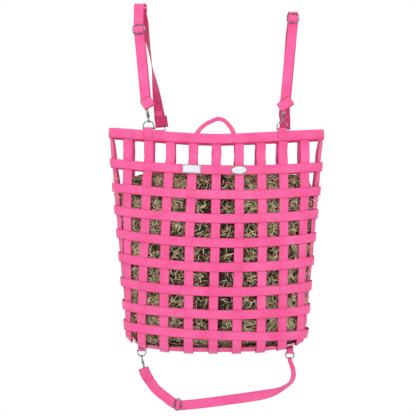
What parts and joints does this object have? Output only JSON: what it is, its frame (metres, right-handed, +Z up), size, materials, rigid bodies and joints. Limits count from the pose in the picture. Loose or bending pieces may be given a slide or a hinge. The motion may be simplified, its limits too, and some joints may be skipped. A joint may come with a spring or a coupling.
{
  "type": "hay net",
  "caption": "Slow-feed hay bag of woven webbing straps in an open grid, with a carry handle, two adjustable clip-on hanging straps and a clip-on bottom strap.",
  "frame": {"origin": "hang point: the middle of the bag's width and depth, midway in height between the two hanging loops", "axes": "+Z up, -Y towards the front of the bag, +X to the right seen from the front"},
  "size_m": [0.587, 0.1916, 1.122],
  "materials": {
    "webbing": "woven",
    "inner_webbing": "woven",
    "label": "satin",
    "hay": "rough",
    "hardware": "polished nickel",
    "spring_steel": "bright"
  },
  "bodies": {
    "bag": {"rim_binding": "webbing", "ring_strap_1": "webbing", "ring_strap_2": "webbing", "ring_strap_3": "webbing", "ring_strap_4": "webbing", "ring_strap_5": "webbing", "ring_strap_6": "webbing", "ring_strap_7": "webbing", "ring_strap_8": "webbing", "upright_strap_1": "webbing", "upright_strap_2": "webbing", "upright_strap_3": "webbing", "upright_strap_4": "webbing", "upright_strap_5": "webbing", "upright_strap_6": "webbing", "upright_strap_7": "webbing", "upright_strap_8": "webbing", "upright_strap_9": "webbing", "end_strap_front": "webbing", "end_strap_back": "webbing", "rim_tabs": "webbing", "bottom_tabs": "webbing", "front_labels": "label", "hay_fill": "hay"},
    "handle": {"carry_handle": "webbing"},
    "left_strap": {"left_strap_loop": "webbing", "left_strap_front_leg": "webbing", "left_strap_back_leg": "inner_webbing", "left_strap_fold": "webbing", "left_snap_eye": "hardware"},
    "left_slide": {"left_slide_frame": "hardware", "left_slide_wrap": "webbing"},
    "left_snap": {"left_snap_hook": "hardware", "left_snap_spring": "spring_steel"},
    "left_bolt": {"left_snap_bolt": "hardware"},
    "left_front_ring": {"left_front_ring": "hardware"},
    "left_back_ring": {"left_back_ring": "hardware"},
    "right_strap": {"right_strap_loop": "webbing", "right_strap_front_leg": "webbing", "right_strap_back_leg": "inner_webbing", "right_strap_fold": "webbing", "right_snap_eye": "hardware"},
    "right_slide": {"right_slide_frame": "hardware", "right_slide_wrap": "webbing"},
    "right_snap": {"right_snap_hook": "hardware", "right_snap_spring": "spring_steel"},
    "right_bolt": {"right_snap_bolt": "hardware"},
    "right_front_ring": {"right_front_ring": "hardware"},
    "right_back_ring": {"right_back_ring": "hardware"},
    "bottom_strap": {"bottom_strap_webbing": "webbing", "bottom_strap_fold": "webbing", "bottom_snap_eye": "hardware", "bottom_left_ring": "hardware", "bottom_right_ring": "hardware"},
    "bottom_slide": {"bottom_slide_frame": "hardware", "bottom_slide_wrap": "webbing"},
    "bottom_snap": {"bottom_snap_hook": "hardware", "bottom_snap_spring": "spring_steel"},
    "bottom_bolt": {"bottom_snap_bolt": "hardware"}
  },
  "joints": [
    {"name": "left_strap_swing", "type": "hinge", "parent": "bag", "child": "left_strap", "pos_m": [-0.184, -0.05, -0.319], "axis": [0.2516, 0.9678, 0], "range_deg": [-35, 15]},
    {"name": "right_strap_swing", "type": "hinge", "parent": "bag", "child": "right_strap", "pos_m": [0.178, -0.05, -0.321], "axis": [0.1191, 0.9929, 0], "range_deg": [-15, 35]},
    {"name": "left_slide_travel", "type": "slide", "parent": "left_strap", "child": "left_slide", "axis": [-0.103, 0.1342, 0.9856], "range_m": [-0.13, 0]},
    {"name": "right_slide_travel", "type": "slide", "parent": "right_strap", "child": "right_slide", "axis": [0.1013, 0.1452, 0.9842], "range_m": [-0.16, 0]},
    {"name": "left_snap_swivel", "type": "hinge", "parent": "left_strap", "child": "left_snap", "pos_m": [-0.18434, -0.04969, -0.30224], "axis": [-0.1365, 0.1256, 0.9827], "range_deg": [-15, 30]},
    {"name": "right_snap_swivel", "type": "hinge", "parent": "right_strap", "child": "right_snap", "pos_m": [0.17834, -0.04969, -0.30424], "axis": [0.1365, 0.1256, 0.9827], "range_deg": [-30, 15]},
    {"name": "bottom_snap_swivel", "type": "hinge", "parent": "bottom_strap", "child": "bottom_snap", "pos_m": [-0.2051, 0, -0.94946], "axis": [0.2017, 0, -0.9795], "range_deg": [-15, 30]},
    {"name": "left_bolt_slide", "type": "slide", "parent": "left_snap", "child": "left_bolt", "axis": [-0.1365, 0.1256, 0.9827], "range_m": [0, 0.005], "stiffness_N_per_m": 400, "springref_m": -0.002, "deforming": ["left_snap_spring"]},
    {"name": "right_bolt_slide", "type": "slide", "parent": "right_snap", "child": "right_bolt", "axis": [0.1365, 0.1256, 0.9827], "range_m": [0, 0.005], "stiffness_N_per_m": 400, "springref_m": -0.002, "deforming": ["right_snap_spring"]},
    {"name": "bottom_bolt_slide", "type": "slide", "parent": "bottom_snap", "child": "bottom_bolt", "axis": [0.2017, 0, -0.9795], "range_m": [0, 0.004], "stiffness_N_per_m": 400, "springref_m": -0.002, "deforming": ["bottom_snap_spring"]},
    {"name": "left_front_ring_lean", "type": "hinge", "parent": "bag", "child": "left_front_ring", "pos_m": [-0.184, -0.05, -0.326], "axis": [1, 0, 0], "range_deg": [-5.6, 2.4]},
    {"name": "left_back_ring_lean", "type": "hinge", "parent": "bag", "child": "left_back_ring", "pos_m": [-0.158, 0.05, -0.326], "axis": [1, 0, 0], "range_deg": [-5.6, 2.4]},
    {"name": "right_front_ring_lean", "type": "hinge", "parent": "bag", "child": "right_front_ring", "pos_m": [0.178, -0.05, -0.328], "axis": [1, 0, 0], "range_deg": [-1.12, 2.62]},
    {"name": "right_back_ring_lean", "type": "hinge", "parent": "bag", "child": "right_back_ring", "pos_m": [0.19, 0.05, -0.328], "axis": [1, 0, 0], "range_deg": [-1.12, 2.62]},
    {"name": "bottom_strap_swing", "type": "hinge", "parent": "bag", "child": "bottom_strap", "pos_m": [-0.00175, 0, -0.935], "axis": [0.9998, 0, -0.0196], "range_deg": [-75, 75]},
    {"name": "bottom_slide_travel", "type": "slide", "parent": "bottom_strap", "child": "bottom_slide", "axis": [0.9929, 0, -0.1191], "range_m": [0, 0.1]},
    {"name": "handle_fold", "type": "hinge", "parent": "bag", "child": "handle", "pos_m": [0, -0.05, -0.3349], "axis": [1, 0, 0], "range_deg": [-75, 75], "stiffness_Nm_per_rad": 0.03}
  ],
  "couplings": [
    {"joint": "left_front_ring_lean", "follows": "left_strap_swing", "ratio": 0.16},
    {"joint": "left_back_ring_lean", "follows": "left_strap_swing", "ratio": 0.16},
    {"joint": "right_front_ring_lean", "follows": "right_strap_swing", "ratio": 0.075},
    {"joint": "right_back_ring_lean", "follows": "right_strap_swing", "ratio": 0.075}
  ]
}
